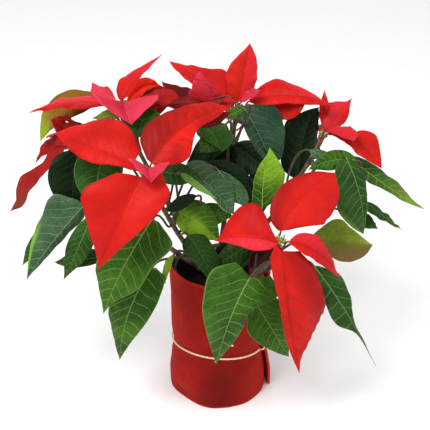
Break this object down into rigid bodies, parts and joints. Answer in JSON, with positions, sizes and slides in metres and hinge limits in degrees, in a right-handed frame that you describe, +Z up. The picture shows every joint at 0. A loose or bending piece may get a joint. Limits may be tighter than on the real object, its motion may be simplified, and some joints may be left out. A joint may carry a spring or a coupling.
{
  "type": "potted poinsettia",
  "caption": "Potted poinsettia with spreading red bracts above green leaves, in a round grower pot wrapped in thick felt and tied with a thin cord.",
  "frame": {"origin": "centre of the grower pot's base, on the surface that the pot stands on", "axes": "+Z up, -Y to the front, +X to the right as seen from the front"},
  "size_m": [0.4588, 0.3314, 0.3884],
  "materials": {
    "felt": "matte felt",
    "cord": "matte twisted cord",
    "black_plastic": "thin moulded plastic",
    "compost": "rough and dark",
    "bark": "dull bark with a pale cut end",
    "green_stem": "smooth young stem",
    "yellow_green": "soft satin",
    "red_bract": "soft satin",
    "green_leaf": "soft satin"
  },
  "bodies": {
    "root": {"felt_wrap": "felt", "wrap_tie": "cord", "grower_pot": "black_plastic", "potting_soil": "compost", "main_stem": "bark", "bract_far_left_drooping": "red_bract", "bract_far_left_narrow": "red_bract", "bract_near_left_inner": "red_bract", "bract_near_left_large": "red_bract", "bract_near_left_outer": "red_bract", "bract_near_left_small": "red_bract", "bract_near_right_folded": "red_bract", "bract_near_right_hanging": "red_bract", "bract_near_right_side": "red_bract", "bract_near_right_upper": "red_bract", "bract_rear_dark": "red_bract", "bract_rear_left_folded": "red_bract", "bract_rear_left_long": "red_bract", "bract_rear_left_low": "red_bract", "bract_rear_left_short": "red_bract", "bract_rear_left_up": "red_bract", "bract_rear_long": "red_bract", "bract_rear_small": "red_bract", "bract_rear_under": "red_bract", "bract_rear_upright": "red_bract", "bract_rear_wide": "red_bract", "bract_right_long": "red_bract", "bract_right_small": "red_bract", "bract_right_upper": "red_bract", "flowers_far_left": "yellow_green", "flowers_near_left": "yellow_green", "flowers_near_right": "yellow_green", "flowers_rear": "yellow_green", "flowers_rear_left": "yellow_green", "flowers_right": "yellow_green", "leaf_far_left_dark": "green_leaf", "leaf_far_left_long": "green_leaf", "leaf_near_left_centre": "green_leaf", "leaf_near_left_lower": "green_leaf", "leaf_near_left_middle": "green_leaf", "leaf_near_left_upper": "green_leaf", "leaf_near_right_brown": "green_leaf", "leaf_near_right_drooping": "green_leaf", "leaf_near_right_large": "green_leaf", "leaf_near_right_under": "green_leaf", "leaf_rear_back": "green_leaf", "leaf_rear_front": "green_leaf", "leaf_rear_left_olive": "green_leaf", "leaf_rear_side": "green_leaf", "leaf_right_dark": "green_leaf", "leaf_right_hanging": "green_leaf", "leaf_right_lime": "green_leaf", "leaf_right_long": "green_leaf", "leaf_right_short": "green_leaf", "shoot_far_left": "green_stem", "shoot_near_left": "green_stem", "shoot_near_right": "green_stem", "shoot_rear": "green_stem", "shoot_rear_left": "green_stem", "shoot_right": "green_stem"}
  },
  "joints": []
}
